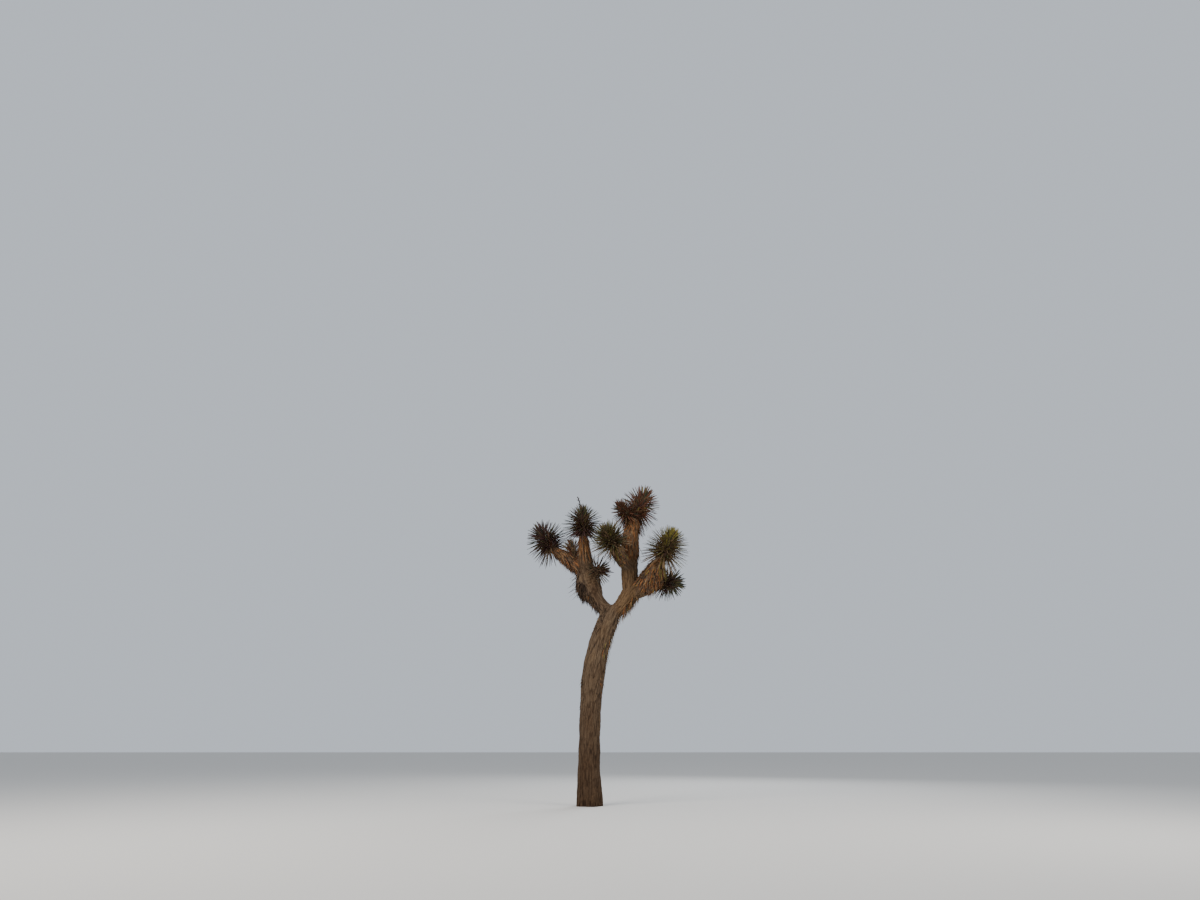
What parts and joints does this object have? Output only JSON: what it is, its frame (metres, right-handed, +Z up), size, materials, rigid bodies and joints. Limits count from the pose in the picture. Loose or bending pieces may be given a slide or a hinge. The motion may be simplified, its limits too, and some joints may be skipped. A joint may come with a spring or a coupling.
{
  "type": "joshua tree",
  "caption": "Young Joshua tree: a leaning fibrous trunk that forks into thick boughs in skirts of dead leaves, each tipped with a head of stiff dagger leaves.",
  "frame": {"origin": "middle of the flat cut under the trunk, at ground level", "axes": "+Z up, +X to the right as the picture shows the tree, +Y away from the camera"},
  "size_m": [2.487, 1.5024, 4.6011],
  "materials": {
    "bark": "rough furrowed fibrous bark, dark grey-brown",
    "skirt": "rough bough in dry dead leaves, rusty tan-brown",
    "leaves": "stiff waxy leaves, satin dark olive green"
  },
  "bodies": {
    "root": {"trunk": "bark", "left_bough": "skirt", "right_bough": "skirt", "upper_left_bough": "skirt", "far_left_bough": "skirt", "middle_bough": "skirt", "outer_right_bough": "skirt", "inner_bough": "skirt", "lower_right_bough": "skirt", "head_far_left": "leaves", "head_upper_left": "leaves", "head_back_left": "leaves", "head_inner_left": "leaves", "head_top_right": "leaves", "head_top_left": "leaves", "head_middle": "leaves", "head_right": "leaves", "head_lower_right": "leaves"}
  },
  "joints": []
}
